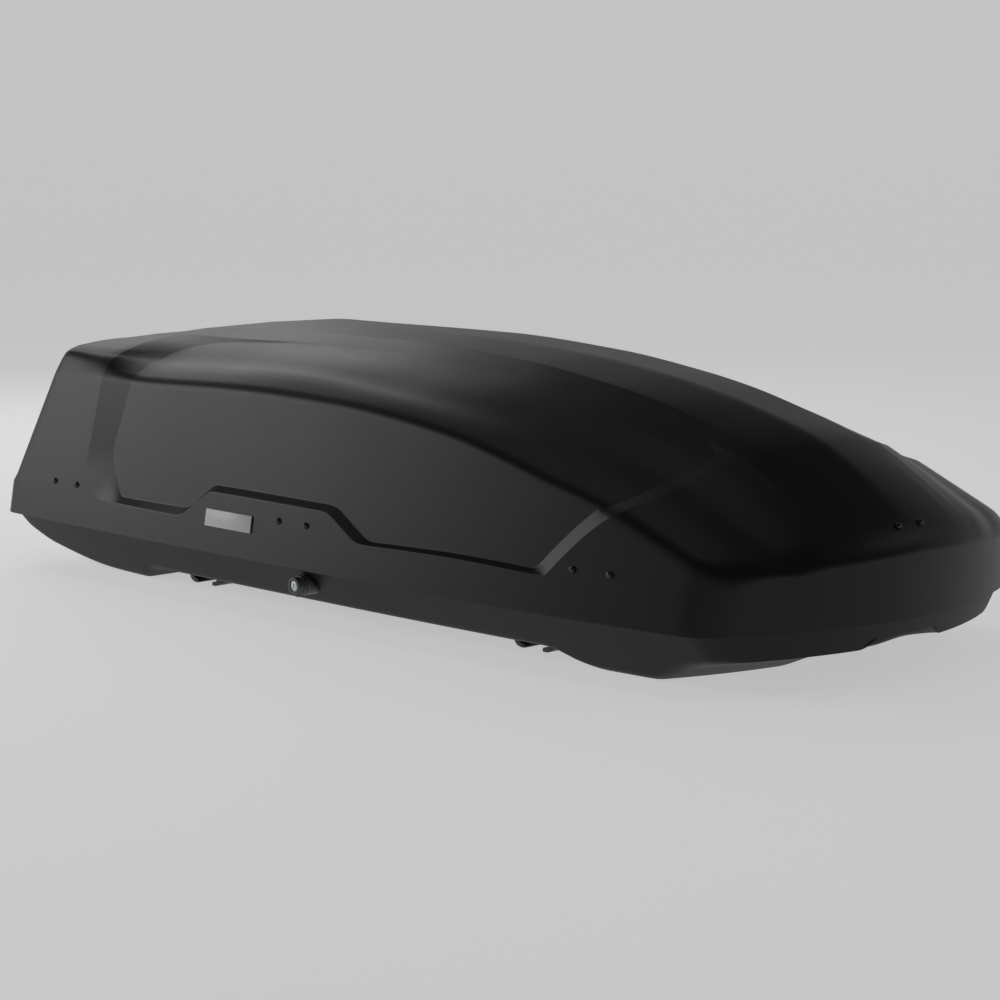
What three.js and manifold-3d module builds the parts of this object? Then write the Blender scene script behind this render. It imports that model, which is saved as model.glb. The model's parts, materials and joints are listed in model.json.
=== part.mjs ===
// A hard roof cargo box for a car: a lid that hinges open to one side on a tub held to two crossbars by four
// clamps. X runs forward to the nose, Y to the left, Z up, in millimetres. The origin is under the middle of
// the box, at the height of its lowest point.
import * as THREE from "three";
import { mergeVertices } from "three/addons/utils/BufferGeometryUtils.js";
import Module from "manifold-3d";

const wasm = await Module();
wasm.setup();

// ---------------------------------------------------------------- driving dimensions
const HALF_LENGTH = 950; // half of the lid's length
const HALF_WIDTH = 436; // half of the lid's width at its lower edge
const RIM_Z = 96; // height of the lid's lower edge
const SKIN = 4; // thickness of both shells
const GAP = 0.4; // clearance between fixed neighbours
const SIDE_LEAN = 0.17; // how far the lid's sides lean in, per unit of height
const NOSE_BOW = 0.00076; // the nose falls back by this times the square of y
const BASE_INSET = 16; // from the lid's side to the tub's side, at the rim
const BASE_LIP = 8; // how far the tub's edge stands up inside the lid
const BASE_SLOPE = 0.714; // how far the tub's sides lean in, per unit of depth
const HINGE_Y = 335; // distance of the hinge and claw pins from the middle
const HINGE_Z = RIM_Z + 10;
const HINGE_XS = { rear: -739, middle: -46, front: 622 };
const RIVET_XS = { rear: -739, middle: -64, front: 622 };
const RIVET_PITCH = 73;
const RIVET_Z = RIM_Z + 75;
const LIFTER_XS = { rear: -850, front: 700 };
const ROLLER_R = 6;
const CLAMP_PLACES = { rear: [-434, 305], front: [408, 286] };
const KNOB_X = HINGE_XS.middle;
const KNOB_Z = RIM_Z - 30;
const LOCK_TRAVEL = 16;
const CRANK_R = LOCK_TRAVEL / Math.SQRT2;
const BAR_Y = 311; // middle of the sliding lock bar

// ---------------------------------------------------------------- materials
function paint(color, roughness, metalness) {
  return new THREE.MeshStandardMaterial({ color, roughness, metalness });
}
const LID_PLASTIC = paint(0x232425, 0.42, 0);
const TUB_PLASTIC = paint(0x1c1c1d, 0.6, 0);
const TRIM_PLASTIC = paint(0x141415, 0.5, 0);
const KNOB_PLASTIC = paint(0x4c5154, 0.45, 0);
const BADGE_PLASTIC = paint(0xd4d7d9, 0.4, 0);
const STEEL = paint(0x8b8d90, 0.35, 1);
const BLACK_STEEL = paint(0x1b1b1c, 0.4, 0.6);

// ---------------------------------------------------------------- solids
// A closed geometry as a manifold-3d solid.
function solid(geometry) {
  const bare = new THREE.BufferGeometry();
  bare.setAttribute("position", geometry.getAttribute("position"));
  bare.setIndex(geometry.index);
  const merged = mergeVertices(bare, 1e-3);
  return new wasm.Manifold(
    new wasm.Mesh({
      numProp: 3,
      vertProperties: merged.attributes.position.array,
      triVerts: new Uint32Array(merged.index.array),
    }),
  );
}

// A manifold-3d solid as a flat-shaded geometry.
function geometryOf(shape) {
  const mesh = shape.getMesh();
  const geometry = new THREE.BufferGeometry();
  geometry.setAttribute("position", new THREE.BufferAttribute(new Float32Array(mesh.vertProperties), 3));
  geometry.setIndex(new THREE.BufferAttribute(new Uint32Array(mesh.triVerts), 1));
  const flat = geometry.toNonIndexed();
  flat.computeVertexNormals();
  return flat;
}

const join = (first, ...rest) => rest.reduce((sum, next) => sum.add(next), first);
const cut = (first, ...rest) => rest.reduce((left, next) => left.subtract(next), first);

// A box given by its low and high corners.
function block([x0, y0, z0], [x1, y1, z1]) {
  const geometry = new THREE.BoxGeometry(x1 - x0, y1 - y0, z1 - z0);
  geometry.translate((x0 + x1) / 2, (y0 + y1) / 2, (z0 + z1) / 2);
  return solid(geometry);
}

// A round rod along X, Y or Z, from one coordinate to another on that axis.
function rod(axis, radius, from, to, [a, b], sides = 16, radiusTo = radius) {
  const geometry = new THREE.CylinderGeometry(radiusTo, radius, to - from, sides);
  const middle = (from + to) / 2;
  if (axis === "x") {
    geometry.rotateZ(-Math.PI / 2);
    geometry.translate(middle, a, b);
  } else if (axis === "y") {
    geometry.translate(a, middle, b);
  } else {
    geometry.rotateX(Math.PI / 2);
    geometry.translate(a, b, middle);
  }
  return solid(geometry);
}

// An outline drawn in (y, z), extruded along X from x0 to x1.
function plateX(shape, x0, x1, curveSegments = 6) {
  const geometry = new THREE.ExtrudeGeometry(shape, { depth: x1 - x0, bevelEnabled: false, curveSegments });
  geometry.applyMatrix4(new THREE.Matrix4().set(0, 0, 1, x0, 1, 0, 0, 0, 0, 1, 0, 0, 0, 0, 0, 1));
  return solid(geometry);
}

// An outline drawn in (x, z), extruded along Y from y0 to y1.
function plateY(shape, y0, y1, curveSegments = 6) {
  const geometry = new THREE.ExtrudeGeometry(shape, { depth: y1 - y0, bevelEnabled: false, curveSegments });
  geometry.applyMatrix4(new THREE.Matrix4().set(1, 0, 0, 0, 0, 0, -1, y1, 0, 1, 0, 0, 0, 0, 0, 1));
  return solid(geometry);
}

function outline(points) {
  return new THREE.Shape(points.map(([a, b]) => new THREE.Vector2(a, b)));
}

const group = new THREE.Group();

// Adds a solid to the model as one named mesh.
function add(name, shape, material) {
  const mesh = new THREE.Mesh(geometryOf(shape), material);
  mesh.name = name;
  group.add(mesh);
}

// ---------------------------------------------------------------- smooth curves through stations
// A curve through [station, value] points that never overshoots between them.
function profile(points) {
  const slopes = points.slice(1).map(([x, v], i) => (v - points[i][1]) / (x - points[i][0]));
  const tangent = (i) => {
    if (i === 0) return slopes[0];
    if (i === points.length - 1) return slopes[i - 1];
    const [before, after] = [slopes[i - 1], slopes[i]];
    return before * after <= 0 ? 0 : (2 * before * after) / (before + after);
  };
  return (x) => {
    let i = 0;
    while (i < points.length - 2 && x > points[i + 1][0]) i += 1;
    const [x0, v0] = points[i];
    const [x1, v1] = points[i + 1];
    const span = x1 - x0;
    const t = THREE.MathUtils.clamp((x - x0) / span, 0, 1);
    const rise = t * t * (3 - 2 * t);
    const bend = t * (1 - t) * span;
    return v0 + (v1 - v0) * rise + bend * ((1 - t) * tangent(i) - t * tangent(i + 1));
  };
}

// Heights over the rim, along the box. A station is the distance forward on the centre line.
const CROWN_Z = profile([[-950, 337], [-780, 349], [-600, 363], [-420, 368], [-100, 370], [182, 359],
  [384, 338], [497, 319], [609, 294], [730, 258], [850, 192], [950, 122]]);
const RIDGE_Z = profile([[-950, 335], [-780, 346], [-600, 360], [-420, 364], [-97, 366], [182, 353],
  [384, 330], [497, 311], [609, 284], [730, 248], [770, 228], [850, 184], [950, 118]]);
const PANEL_Z = profile([[-950, 333], [-600, 348], [-302, 354], [-33, 352], [240, 336], [424, 312],
  [531, 292], [642, 264], [730, 234], [770, 220], [850, 179], [950, 116]]);
const SHOULDER_Z = profile([[-950, 325], [-560, 320], [-380, 327], [-180, 333], [121, 313], [253, 300],
  [373, 284], [512, 262], [628, 239], [750, 200], [950, 106]]);
const CREASE_Z = profile([[-950, 287], [-570, 288], [-250, 295], [0, 291], [215, 275], [349, 259], [469, 237],
  [581, 213], [715, 185], [821, 149], [950, 99]]);
const RIDGE_Y = profile([[-950, 165], [-600, 150], [-414, 125], [950, 125]]);
const PANEL_Y = profile([[-950, 206], [-498, 208], [-316, 192], [-34, 175], [240, 165], [950, 162]]);
const SHOULDER_Y = profile([[-950, 358], [-720, 350], [-540, 304], [120, 310], [373, 290], [628, 262],
  [950, 262]]);

// Depths under the rim of the tub's floor: in its lobes, and along the recess between them.
const LOBE_Z = profile([[-934, -18], [-860, -63], [-690, -94], [-590, -96], [-561, -78], [-535, -70],
  [530, -70], [560, -74], [605, -90], [650, -96], [745, -96], [870, -60], [934, -46]]);
const RECESS_Z = profile([[-934, -16], [-860, -30], [-600, -32], [-555, -70], [545, -70], [590, -32],
  [900, -30], [934, -30]]);

const smoothstep = (x, low, high) => THREE.MathUtils.smoothstep(x, low, high);

// Half width at the lid's lower edge, x forward of the middle.
function halfWidthAt(x) {
  if (x > -400) return HALF_WIDTH - 52 * ((x + 400) / 1238) ** 3.2;
  return HALF_WIDTH - 12 * ((x + 400) / 550) ** 2;
}

const bow = (station) => NOSE_BOW * smoothstep(station, 0, 900);

// Half width where a bowed station line meets the lid's side.
function stationHalfWidth(station) {
  let y = HALF_WIDTH;
  for (let step = 0; step < 6; step += 1) y = halfWidthAt(station - bow(station) * y * y);
  return y;
}

// The lid's rear face is an upright band up to REAR_BAND. Over a small step it slopes forward.
const REAR_BAND = 65;
const REAR_SLOPE = 0.44;
const REAR_STEP = 7;
function lidX(station, y, height) {
  const lean = REAR_SLOPE * Math.max(height - REAR_BAND, 0) * (1 - smoothstep(station, -HALF_LENGTH, -590));
  const atRear = 1 - smoothstep(station, -HALF_LENGTH, -HALF_LENGTH + 90);
  const step = REAR_STEP * smoothstep(height, REAR_BAND - 7, REAR_BAND + 5) * atRear;
  return station - bow(station) * y * y + lean + step;
}

// The tub's front face slopes back going down.
const FRONT_LEAN = 0.4;
function baseX(station, y, height) {
  const lean = FRONT_LEAN * Math.min(height, 0) * smoothstep(station, 700, HALF_LENGTH);
  return station - bow(station) * y * y + lean;
}

// 0 along the box, rising as a quarter circle of this radius to 1 at its two ends.
function endRound(station, half, radius) {
  const into = Math.max(Math.abs(station) - (half - radius), 0) / radius;
  return 1 - Math.sqrt(Math.max(1 - into * into, 0));
}

// Stations along the box, close together over the round ends.
function stations(half, radius, inner) {
  const steps = [0, 0.25, 0.5, 0.75, 1].map((t) => half - radius + radius * Math.sin((t * Math.PI) / 2));
  return [...steps.map((s) => -s).reverse(), ...inner, ...steps];
}

// Half of the lid's section at a station, offset inwards: points over the top from the middle to the crease,
// then down the side to the rim, as [y, height].
const LID_CORNER = 42;
const LID_TOP_ROUND = 20;
const LID_SIDE_ROWS = [0.72, 0.45, 0.2, 0];
function lidSection(station, offset) {
  const round = endRound(station, HALF_LENGTH, LID_CORNER);
  const drop = offset + LID_TOP_ROUND * round;
  const rim = stationHalfWidth(station) - offset;
  const creaseHeight = CREASE_Z(station) - drop;
  const creaseY = rim - SIDE_LEAN * creaseHeight;
  const shrink = (creaseY - LID_CORNER * round) / creaseY;
  const shoulderY = SHOULDER_Y(station);
  const ridge = [RIDGE_Y(station), RIDGE_Z(station)];
  const panel = [PANEL_Y(station), PANEL_Z(station)];
  const top = [
    [0, CROWN_Z(station)],
    [ridge[0] / 2, CROWN_Z(station) * 0.75 + ridge[1] * 0.25],
    ridge,
    panel,
    [(panel[0] + shoulderY) / 2, (panel[1] + SHOULDER_Z(station)) / 2 + 1],
    [shoulderY, SHOULDER_Z(station)],
    [(shoulderY + creaseY) / 2, (SHOULDER_Z(station) + CREASE_Z(station)) / 2 + 2],
    [creaseY, CREASE_Z(station)],
  ];
  const over = top.map(([y, z]) => [y * shrink, z - drop]);
  const side = LID_SIDE_ROWS.map((f) => [
    rim - SIDE_LEAN * creaseHeight * f - LID_CORNER * round,
    creaseHeight * f,
  ]);
  return { over, side };
}

// The same for the tub, from the middle of the floor to its edge, and then up the side.
const BASE_HALF = HALF_LENGTH - BASE_INSET;
const BASE_CORNER = 30;
const BASE_SIDE_ROWS = [0.6, 0.25, 0];
function baseSection(station, offset) {
  const round = endRound(station, BASE_HALF, BASE_CORNER);
  const lobe = LOBE_Z(station) + offset;
  const recess = RECESS_Z(station) + offset;
  const rim = stationHalfWidth(station) - BASE_INSET - offset;
  const floorY = rim + BASE_SLOPE * lobe;
  const shrink = (floorY - BASE_CORNER * round) / floorY;
  const over = [
    [0, recess],
    [72, recess],
    [100, lobe],
    [220, lobe],
    [floorY - 14, lobe],
    [floorY, lobe + 5],
  ].map(([y, z]) => [y * shrink, z]);
  const edge = lobe + 5;
  const side = BASE_SIDE_ROWS.map((f) => {
    const z = BASE_LIP + (edge - BASE_LIP) * f;
    const lean = Math.min(z, 0) / edge;
    return [rim + (floorY - rim) * lean - BASE_CORNER * round, z];
  });
  return { over, side };
}

// One skin of a shell. A grid runs round each station's section from rim to rim, and a cap closes each end.
function skin(sectionAt, placeAt, stationList, squeeze, offset) {
  const points = [];
  const triangles = [];
  const put = (station, y, z) => points.push([placeAt(station * squeeze, y, z), y, z + RIM_Z]) - 1;
  const quad = (a, b, c, d) => triangles.push([a, b, c], [a, c, d]);
  const rows = stationList.map((station) => {
    const { over, side } = sectionAt(station, offset);
    const left = [...over.slice(1), ...side];
    const right = left.map(([y, z]) => [-y, z]).reverse();
    return [...right, over[0], ...left].map(([y, z]) => put(station, y, z));
  });
  for (let i = 1; i < rows.length; i += 1)
    for (let j = 1; j < rows[i].length; j += 1)
      quad(rows[i - 1][j - 1], rows[i][j - 1], rows[i][j], rows[i - 1][j]);

  const cap = (row, station, outward) => {
    const { over, side } = sectionAt(station, offset);
    const [edgeY, edgeZ] = over[over.length - 1];
    const sides = side.length;
    let above = row.slice(sides, row.length - sides);
    side.forEach(([sideY, sideZ], k) => {
      const inner = above.slice(1, -1).map((index, n) => {
        const [y, z] = over[Math.abs(n + 1 - (over.length - 1))];
        const across = Math.sign(n + 1 - (over.length - 1)) * y * (sideY / edgeY);
        return put(station, across, edgeZ === 0 ? sideZ : sideZ + (z - edgeZ) * (1 - (k + 1) / sides));
      });
      const below = [row[sides - 1 - k], ...inner, row[row.length - sides + k]];
      for (let j = 1; j < below.length; j += 1) {
        if (outward) quad(above[j - 1], below[j - 1], below[j], above[j]);
        else quad(above[j], below[j], below[j - 1], above[j - 1]);
      }
      above = below;
    });
  };
  cap(rows[rows.length - 1], stationList[stationList.length - 1], true);
  cap(rows[0], stationList[0], false);
  return { points, triangles };
}

// A shell of the skin's thickness, open at the rim. The two skins are joined along their open edges.
function shell(sectionAt, placeAt, stationList, half) {
  const outer = skin(sectionAt, placeAt, stationList, 1, 0);
  const inner = skin(sectionAt, placeAt, stationList, (half - SKIN) / half, SKIN);
  const count = outer.points.length;
  const edges = new Map();
  for (const [a, b, c] of outer.triangles)
    for (const [from, to] of [[a, b], [b, c], [c, a]])
      if (!edges.delete(`${to}_${from}`)) edges.set(`${from}_${to}`, [from, to]);
  const faces = [...outer.triangles];
  for (const [a, b, c] of inner.triangles) faces.push([c + count, b + count, a + count]);
  for (const [from, to] of edges.values()) {
    faces.push([to, from, from + count], [to, from + count, to + count]);
  }
  const geometry = new THREE.BufferGeometry();
  const corners = [...outer.points, ...inner.points].flat();
  geometry.setAttribute("position", new THREE.Float32BufferAttribute(corners, 3));
  geometry.setIndex(faces.flat());
  const made = solid(geometry);
  if (made.volume() > 0) return made;
  geometry.setIndex(faces.map(([a, b, c]) => [a, c, b]).flat());
  return solid(geometry);
}

// ---------------------------------------------------------------- where the shells' walls are
const lidWallY = (x, z) => halfWidthAt(x) - SIDE_LEAN * (z - RIM_Z); // outer face of the lid's side
const lidInnerY = (x, z) => lidWallY(x, z) - SKIN - 0.8;
const baseWallY = (x, z) => halfWidthAt(x) - BASE_INSET + BASE_SLOPE * Math.min(z - RIM_Z, 0);
const baseFloorZ = RIM_Z - 70 + SKIN; // top of the tub's floor, away from the lobes

// ---------------------------------------------------------------- fasteners on the lid's skin
const RIVET_R = 5.5;
const RIVET_RISE = 3.2;
const RIVET_STANDOFF = 1.0; // under a head, so that it clears the leaning, curved wall
const STRIP_THICK = 8;
const RIVET_HOLE_R = 3;
const sides = [["right", -1], ["left", 1]];
const stationsAlong = Object.keys(HINGE_XS);

// A rod along Y between two distances from the middle, on the given side.
function sideRod(sign, radius, near, far, place, segments) {
  const [from, to] = sign < 0 ? [-far, -near] : [near, far];
  return rod("y", radius, from, to, place, segments);
}

function rivetHole(x, sign) {
  return sideRod(sign, RIVET_HOLE_R, 200, 500, [x, RIVET_Z], 8);
}

// Inner face of the backing strip behind a pair of rivets, as a distance from the middle.
function stripOuterY(centreX) {
  const ends = [-1, 1].map((end) => centreX + end * (RIVET_PITCH / 2 + 8));
  return Math.min(...ends.map((x) => lidInnerY(x, RIVET_Z + 6))) - 0.6;
}

// Two rivets and the strip inside the lid that joins them: domed heads outside, shanks through the wall.
function rivetPair(centreX, sign) {
  const xs = [centreX - RIVET_PITCH / 2, centreX + RIVET_PITCH / 2];
  const outerY = stripOuterY(centreX);
  const [near, far] = [sign * outerY, sign * (outerY - STRIP_THICK)];
  const strip = block(
    [xs[0] - 8, Math.min(near, far), RIVET_Z - 6],
    [xs[1] + 8, Math.max(near, far), RIVET_Z + 6],
  );
  const heads = xs.map((x) => {
    const face = lidWallY(x - RIVET_R, RIVET_Z - RIVET_R) + RIVET_STANDOFF;
    const dome = solid(new THREE.LatheGeometry(domeProfile(RIVET_R, RIVET_RISE), 10));
    const head = dome.rotate([0, 0, sign < 0 ? 180 : 0]).translate([x, sign * face, RIVET_Z]);
    return join(head, sideRod(sign, RIVET_HOLE_R - GAP, outerY - 1, face + 0.5, [x, RIVET_Z], 8));
  });
  return join(strip, ...heads);
}

// The lathe outline of a low dome that stands on the plane y = 0.
function domeProfile(radius, rise) {
  const arc = [0, 0.4, 0.75, 1].map((t) => {
    const angle = (t * Math.PI) / 2;
    return new THREE.Vector2(Math.max(radius * Math.cos(angle), 0), rise * Math.sin(angle));
  });
  arc[arc.length - 1].x = 0;
  return [new THREE.Vector2(0, 0), ...arc];
}

// ---------------------------------------------------------------- lid
const LID_STATIONS = stations(HALF_LENGTH, LID_CORNER, [-860, -790, -720, -650, -600, -540, -460, -350, -220,
  -80, 60, 200, 320, 430, 530, 610, 680, 740, 790, 840, 880]);
const NOSE_RIVET_X = 922;
const NOSE_RIVET_YS = [27, -27];
const noseRivetHoles = NOSE_RIVET_YS.map((y) =>
  rod("z", RIVET_HOLE_R, RIM_Z + 60, RIM_Z + 260, [NOSE_RIVET_X, y], 8),
);
const lidShell = cut(
  shell(lidSection, lidX, LID_STATIONS, HALF_LENGTH),
  ...noseRivetHoles,
  ...sides.flatMap(([, sign]) =>
    Object.values(RIVET_XS).flatMap((x) =>
      [-1, 1].map((end) => rivetHole(x + (end * RIVET_PITCH) / 2, sign)))),
);
add("lid_shell", lidShell, LID_PLASTIC);

for (const [side, sign] of sides)
  for (const place of stationsAlong)
    add(`rivet_pair_${side}_${place}`, rivetPair(RIVET_XS[place], sign), BLACK_STEEL);

// Two rivets on the nose, joined by a strip under the skin.
const NOSE_RIVET_Z = RIM_Z + CROWN_Z(NOSE_RIVET_X) - 1.2;
const NOSE_RIVET_TILT = 36;
const noseRivets = NOSE_RIVET_YS.map((y) => {
  const head = solid(new THREE.LatheGeometry(domeProfile(RIVET_R, RIVET_RISE), 10)).rotate([90, 0, 0]);
  return join(
    head.rotate([0, NOSE_RIVET_TILT, 0]).translate([NOSE_RIVET_X + 1, y, NOSE_RIVET_Z + 1.4]),
    rod("z", RIVET_HOLE_R - GAP, NOSE_RIVET_Z - 16, NOSE_RIVET_Z + 2, [NOSE_RIVET_X, y], 8),
  );
});
const noseStripLow = [NOSE_RIVET_X - 9, -36, NOSE_RIVET_Z - 18];
const noseStripHigh = [NOSE_RIVET_X + 1, 36, NOSE_RIVET_Z - 14];
const noseStrip = block(noseStripLow, noseStripHigh);
add("rivet_pair_nose", join(noseStrip, ...noseRivets), BLACK_STEEL);

// A plain pale plate on each side of the lid.
const BADGE = { x0: -298, x1: -170, z0: RIM_Z + 46, z1: RIM_Z + 76 };
for (const [side, sign] of sides) {
  const near = (z) => lidWallY(-234, z) + 0.9;
  const shape = outline([
    [sign * near(BADGE.z0), BADGE.z0],
    [sign * (near(BADGE.z0) + 2), BADGE.z0],
    [sign * (near(BADGE.z1) + 2), BADGE.z1],
    [sign * near(BADGE.z1), BADGE.z1],
  ]);
  add(`badge_${side}`, plateX(shape, BADGE.x0, BADGE.x1), BADGE_PLASTIC);
}

// ---------------------------------------------------------------- hinges and claws
// Each bracket hangs from the lid's side and reaches down over the tub's edge to a pin. It is arched so that the
// edge stays clear when the lid turns about the left pins.
const PIN_R = 4;
const BOSS_R = 10;
const ARM_LOW = RIM_Z + 70;
const ARM_HIGH = RIM_Z + 98;
function lidBracket(place, sign) {
  const x = HINGE_XS[place];
  const wall = stripOuterY(RIVET_XS[place]) - STRIP_THICK - GAP;
  const arm = new THREE.Shape();
  arm.moveTo(sign * (HINGE_Y - 9), HINGE_Z);
  arm.lineTo(sign * (HINGE_Y + 9), HINGE_Z);
  arm.lineTo(sign * Math.min(HINGE_Y + 9, wall - 6), ARM_LOW - 6);
  arm.lineTo(sign * wall, ARM_LOW);
  arm.lineTo(sign * wall, ARM_HIGH);
  arm.lineTo(sign * (HINGE_Y + 2), ARM_HIGH);
  arm.lineTo(sign * (HINGE_Y - 9), ARM_HIGH - 11);
  const web = plateX(arm, x - 9, x + 9);
  const boss = rod("x", BOSS_R, x - 9, x + 9, [sign * HINGE_Y, HINGE_Z], 16);
  const bore = rod("x", PIN_R + 0.3, x - 12, x + 12, [sign * HINGE_Y, HINGE_Z], 16);
  return cut(join(web, boss), bore);
}

// A saddle on the tub's floor: two cheeks with the pin in their notch. The notch is open at the top on the right
// side, where the pin lifts out, and closed on the left side, where the lid hinges.
const CHEEK_IN = 12;
const CHEEK_OUT = 20;
const SADDLE_FOOT = { low: baseFloorZ + GAP, high: baseFloorZ + 8 };
function saddleFoot(place) {
  return place === "middle" ? SADDLE_FOOT : { low: LOBE_FLOOR_Z[place] + GAP, high: LOBE_FLOOR_Z[place] + 8 };
}

// Top of the tub's floor under the rear and front saddles, which stand in the lobes.
const LOBE_FLOOR_Z = { rear: RIM_Z + LOBE_Z(-790) + SKIN + 1, front: RIM_Z - 90 + SKIN + 7 };

function saddle(place, sign) {
  const x = HINGE_XS[place];
  const { low, high } = saddleFoot(place);
  const outerAt = (z) => Math.min(HINGE_Y + 11, baseWallY(x + CHEEK_OUT + 10, z) - SKIN - 4);
  const outer = outerAt(low);
  const inner = HINGE_Y - 11;
  const cheekTop = HINGE_Z + 9;
  const cheekShape = outline([
    [sign * (outer - 40), low],
    [sign * outer, low],
    [sign * outerAt(RIM_Z - 20), RIM_Z - 20],
    [sign * outerAt(RIM_Z - 2), RIM_Z - 2],
    [sign * outerAt(RIM_Z - 2), cheekTop],
    [sign * inner, cheekTop],
    [sign * inner, RIM_Z - 20],
    [sign * Math.min(inner, outerAt(low + 10) - 22), low + 10],
  ]);
  const cheeks = [-1, 1].map((end) => {
    const near = x + end * CHEEK_IN;
    const far = x + end * CHEEK_OUT;
    return plateX(cheekShape, Math.min(near, far), Math.max(near, far));
  });
  const footNear = sign * (outer - 44);
  const foot = block(
    [x - CHEEK_OUT - 10, Math.min(footNear, sign * outer), low],
    [x + CHEEK_OUT + 10, Math.max(footNear, sign * outer), high],
  );
  const seat = rod("x", PIN_R + GAP, x - 30, x + 30, [sign * HINGE_Y, HINGE_Z], 16);
  const mouth = block(
    [x - 30, sign * HINGE_Y - PIN_R - GAP, HINGE_Z],
    [x + 30, sign * HINGE_Y + PIN_R + GAP, HINGE_Z + 20],
  );
  const body = join(foot, ...cheeks);
  return sign < 0 ? cut(body, seat, mouth) : cut(body, seat);
}

const PIN_END = 34;
for (const [side, sign] of sides)
  for (const place of stationsAlong) {
    const x = HINGE_XS[place];
    add(`lid_bracket_${side}_${place}`, lidBracket(place, sign), BLACK_STEEL);
    add(`saddle_${side}_${place}`, saddle(place, sign), TRIM_PLASTIC);
    const last = sign < 0 ? PIN_END : CHEEK_OUT + 3;
    const pin = rod("x", PIN_R, x - CHEEK_OUT - 3, x + last, [sign * HINGE_Y, HINGE_Z]);
    add(`pin_${side}_${place}`, pin, STEEL);
  }

// ---------------------------------------------------------------- lock
// The knob turns a crank whose pin slides the bar. The bar's eyes close over the ends of the right side's pins.
const BAR = { y0: -BAR_Y - 2, y1: -BAR_Y + 2, z0: RIM_Z + 3, z1: RIM_Z + 17 };
const EYE_START = PIN_END + 4;
const EYE_END = EYE_START + 6;
const eyes = stationsAlong.map((place) => {
  const x = HINGE_XS[place];
  const ring = rod("x", 10, x + EYE_START, x + EYE_END, [-HINGE_Y, HINGE_Z], 16);
  const reach = block([x + EYE_START, -HINGE_Y, HINGE_Z - 5], [x + EYE_END, BAR.y0 + 1, HINGE_Z + 5]);
  const bore = rod("x", PIN_R + 1.2, x + EYE_START - 1, x + EYE_END + 1, [-HINGE_Y, HINGE_Z], 16);
  return cut(join(ring, reach), bore);
});
const SLOT_X = KNOB_X + LOCK_TRAVEL / 2; // middle of the crank's slot at rest
const tab = block([SLOT_X - 9, BAR.y0, KNOB_Z - 2], [SLOT_X + 9, BAR.y1, BAR.z0 + 2]);
const slot = block([SLOT_X - 4, BAR.y0 - 1, KNOB_Z + 2], [SLOT_X + 4, BAR.y1 + 1, KNOB_Z + 17]);
const barLength = block(
  [HINGE_XS.rear + EYE_START - 10, BAR.y0, BAR.z0],
  [HINGE_XS.front + EYE_END + 6, BAR.y1, BAR.z1],
);
add("lock_bar", cut(join(barLength, tab, ...eyes), slot), STEEL);

const WALL_AT_KNOB = baseWallY(KNOB_X, KNOB_Z);
const PLATE_Y = WALL_AT_KNOB + 20; // outer face of the escutcheon
const SHAFT_R = 5.5;

// A teardrop outline about a centre, with its tip turned to an angle from +X.
const KNOB_TIP_ANGLE = -Math.PI / 3;
function teardrop(radius, tip, angle, [x, z]) {
  const shape = new THREE.Shape();
  const lean = Math.acos(radius / tip);
  shape.absarc(x, z, radius, angle + lean, angle + 2 * Math.PI - lean, false);
  shape.lineTo(x + tip * Math.cos(angle), z + tip * Math.sin(angle));
  return shape;
}

const knobPlace = [KNOB_X, KNOB_Z];
const knobBody = plateY(teardrop(15, 20, KNOB_TIP_ANGLE, knobPlace), -PLATE_Y - 18, -PLATE_Y - 4, 10);
const knobCollar = rod("y", 17, -PLATE_Y - 6, -PLATE_Y - 1, knobPlace, 24);
const shaft = rod("y", SHAFT_R, -PLATE_Y - 2, -BAR_Y - 5, knobPlace, 16);
const crank = rod("y", CRANK_R + 5, -BAR_Y - 9, -BAR_Y - 4.5, knobPlace, 24);
const crankPin = rod("y", 3, -BAR_Y - 5, -BAR_Y + 4,
  [KNOB_X + CRANK_R * Math.SQRT1_2, KNOB_Z + CRANK_R * Math.SQRT1_2], 12);
const recess = rod("y", 9.4, -PLATE_Y - 30, -PLATE_Y - 12, knobPlace, 20);
add("lock_knob", cut(join(knobBody, knobCollar, shaft, crank, crankPin), recess), KNOB_PLASTIC);

const keyway = block([KNOB_X - 1, -PLATE_Y - 30, KNOB_Z - 4], [KNOB_X + 1, -PLATE_Y - 14, KNOB_Z + 4]);
const cylinder = rod("y", 9, -PLATE_Y - 17, -PLATE_Y - 12.4, knobPlace, 20);
add("lock_cylinder", cut(cylinder, keyway), STEEL);

// The escutcheon is a round boss. It fills the wedge between the tub's sloping side
// and the knob's upright face.
const ESCUTCHEON_R = 18;
const plateHigh = KNOB_Z + 22;
const plateLow = KNOB_Z - 24;
const wedge = plateX(
  outline([
    [-baseWallY(KNOB_X - 26, plateHigh) - GAP - 1, plateHigh],
    [-PLATE_Y, plateHigh],
    [-PLATE_Y, plateLow],
    [-baseWallY(KNOB_X - 26, plateLow) - GAP - 1, plateLow],
  ]),
  KNOB_X - 24,
  KNOB_X + 24,
);
const boss = wedge.intersect(rod("y", ESCUTCHEON_R, -500, -300, knobPlace, 28));
add("escutcheon", cut(boss, rod("y", SHAFT_R + 0.4, -500, -300, knobPlace, 16)), KNOB_PLASTIC);

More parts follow.
